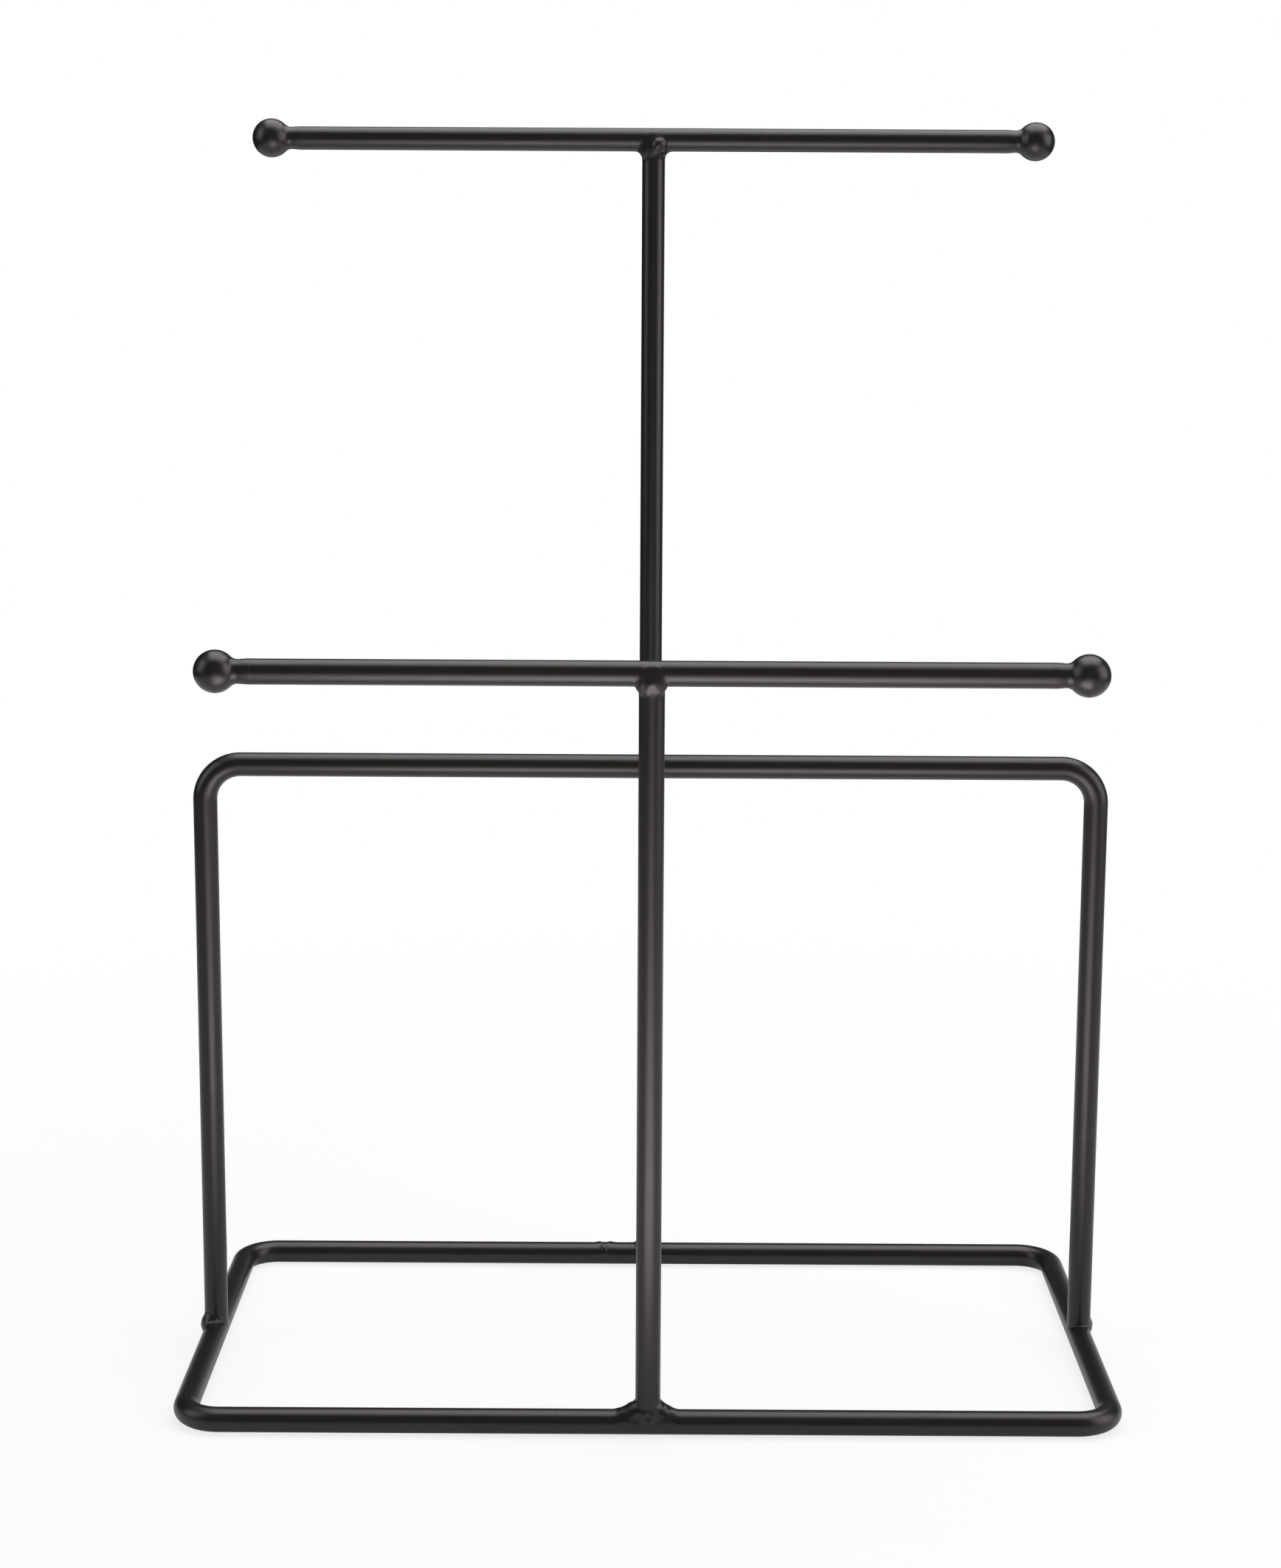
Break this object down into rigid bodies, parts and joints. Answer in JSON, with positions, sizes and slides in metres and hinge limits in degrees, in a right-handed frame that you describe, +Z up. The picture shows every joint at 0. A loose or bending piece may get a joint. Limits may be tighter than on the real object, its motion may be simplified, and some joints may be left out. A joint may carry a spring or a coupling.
{
  "type": "valet stand",
  "caption": "Table-top valet stand of welded black wire: rectangular base loop, hoop across it, and T-bars with ball ends on posts at the front and the back, for hanging jewellery.",
  "frame": {"origin": "on the table, under the middle of the base loop", "axes": "+X to the right along the bars, +Y to the back, towards the taller post, +Z up"},
  "size_m": [0.2318, 0.13, 0.313],
  "materials": {
    "wire_coat": "satin black powder coat",
    "weld_coat": "satin black powder coat over weld beads"
  },
  "bodies": {
    "root": {"base_loop": "wire_coat", "base_seam_weld": "weld_coat", "front_foot_welds": "weld_coat", "front_post": "wire_coat", "hoop": "wire_coat", "hoop_foot_welds": "weld_coat", "lower_bar": "wire_coat", "lower_bar_balls": "wire_coat", "lower_bar_neck_welds": "weld_coat", "lower_bar_welds": "weld_coat", "rear_foot_welds": "weld_coat", "rear_post": "wire_coat", "upper_bar": "wire_coat", "upper_bar_balls": "wire_coat", "upper_bar_neck_welds": "weld_coat", "upper_bar_welds": "weld_coat"}
  },
  "joints": []
}
